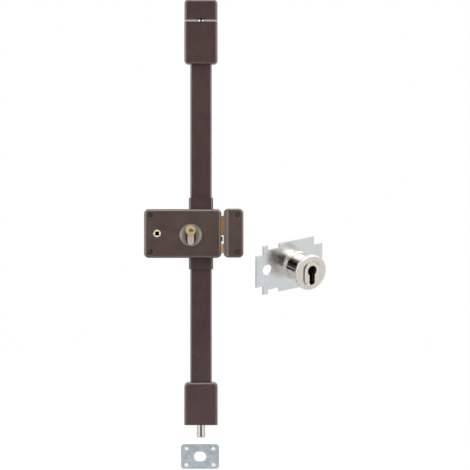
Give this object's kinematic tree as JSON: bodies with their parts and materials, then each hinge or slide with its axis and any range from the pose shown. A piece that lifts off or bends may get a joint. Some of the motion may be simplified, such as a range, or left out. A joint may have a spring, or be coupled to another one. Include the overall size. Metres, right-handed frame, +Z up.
{
  "type": "surface mounted multipoint lock",
  "caption": "Surface mounted door lock with a key cylinder, latch, deadbolt and covered rods to pins above and below, with keeps, floor plate and outer cylinder guard.",
  "frame": {"origin": "on the door's face behind the case, on the rods' axis, at mid-height of the case", "axes": "+X along the door towards the side keep, +Y into the door, +Z up along the rods"},
  "size_m": [0.3038, 0.0902, 0.7891],
  "materials": {
    "brown_paint": "satin baked paint",
    "zinc_steel": "bright zinc",
    "zinc_plate": "mottled zinc plate",
    "nickel": "polished nickel",
    "satin_nickel": "satin nickel",
    "chrome": "polished chrome",
    "brass": "machined brass"
  },
  "bodies": {
    "lock": {"case_cover": "brown_paint", "back_plate": "zinc_steel", "bolt_guide": "zinc_steel", "cylinder_disc": "satin_nickel", "cylinder_body": "nickel", "cylinder_screw": "zinc_steel", "gear_axle": "zinc_steel", "axle_clip": "zinc_steel", "latch_spring": "zinc_steel", "upper_collar": "brown_paint", "lower_collar": "brown_paint", "upper_rod_cover": "brown_paint", "lower_rod_cover": "brown_paint", "upper_guide_box": "brown_paint", "lower_guide_box": "brown_paint", "upper_pin_bearing": "zinc_steel", "lower_pin_bearing": "zinc_steel", "top_keep": "brown_paint", "side_keep": "brown_paint", "floor_plate": "zinc_plate", "guard_plate": "zinc_plate", "guard_barrel": "chrome", "guard_ring": "chrome", "guard_rose": "satin_nickel", "guard_insert": "satin_nickel"},
    "key_plug": {"cylinder_plug": "brass", "cylinder_cam": "zinc_steel"},
    "drive_wheel": {"drive_gear": "zinc_steel"},
    "upper_rod": {"upper_rod": "zinc_steel", "upper_pin": "nickel", "upper_pin_rivet": "zinc_steel"},
    "lower_rod": {"lower_rod": "zinc_steel", "lower_pin": "nickel", "lower_pin_rivet": "zinc_steel"},
    "deadbolt": {"deadbolt": "brass", "deadbolt_rack": "zinc_steel", "deadbolt_rivet": "zinc_steel"},
    "latch": {"latch_bolt": "brass", "latch_tail": "zinc_steel", "latch_rivet": "zinc_steel"},
    "follower": {"follower": "brass"}
  },
  "joints": [
    {"name": "upper_rod_slide", "type": "slide", "parent": "lock", "child": "upper_rod", "axis": [0, 0, -1], "range_m": [0, 0.01787]},
    {"name": "lower_rod_slide", "type": "slide", "parent": "lock", "child": "lower_rod", "axis": [0, 0, 1], "range_m": [0, 0.01787]},
    {"name": "deadbolt_slide", "type": "slide", "parent": "lock", "child": "deadbolt", "axis": [-1, 0, 0], "range_m": [0, 0.01787]},
    {"name": "drive_wheel_turn", "type": "hinge", "parent": "lock", "child": "drive_wheel", "pos_m": [0.00385, -0.018, 0.015], "axis": [0, -1, 0], "range_deg": [0, 157.5]},
    {"name": "key_turn", "type": "hinge", "parent": "lock", "child": "key_plug", "pos_m": [-0.017, -0.03, 0.0053], "axis": [0, 1, 0], "range_deg": [0, 360]},
    {"name": "latch_slide", "type": "slide", "parent": "lock", "child": "latch", "axis": [-1, 0, 0], "range_m": [0, 0.0118], "stiffness_N_per_m": 200, "springref_m": -0.012, "deforming": ["latch_spring"]},
    {"name": "follower_turn", "type": "hinge", "parent": "lock", "child": "follower", "pos_m": [-0.0733, -0.02, 0], "axis": [0, 1, 0], "range_deg": [0, 40]}
  ],
  "couplings": [
    {"joint": "lower_rod_slide", "follows": "upper_rod_slide", "ratio": 1},
    {"joint": "deadbolt_slide", "follows": "upper_rod_slide", "ratio": 1},
    {"joint": "drive_wheel_turn", "follows": "upper_rod_slide", "rad_per_m": 153.85},
    {"joint": "key_turn", "follows": "upper_rod_slide", "rad_per_m": 351.65},
    {"joint": "follower_turn", "follows": "latch_slide", "rad_per_m": 59.172}
  ]
}
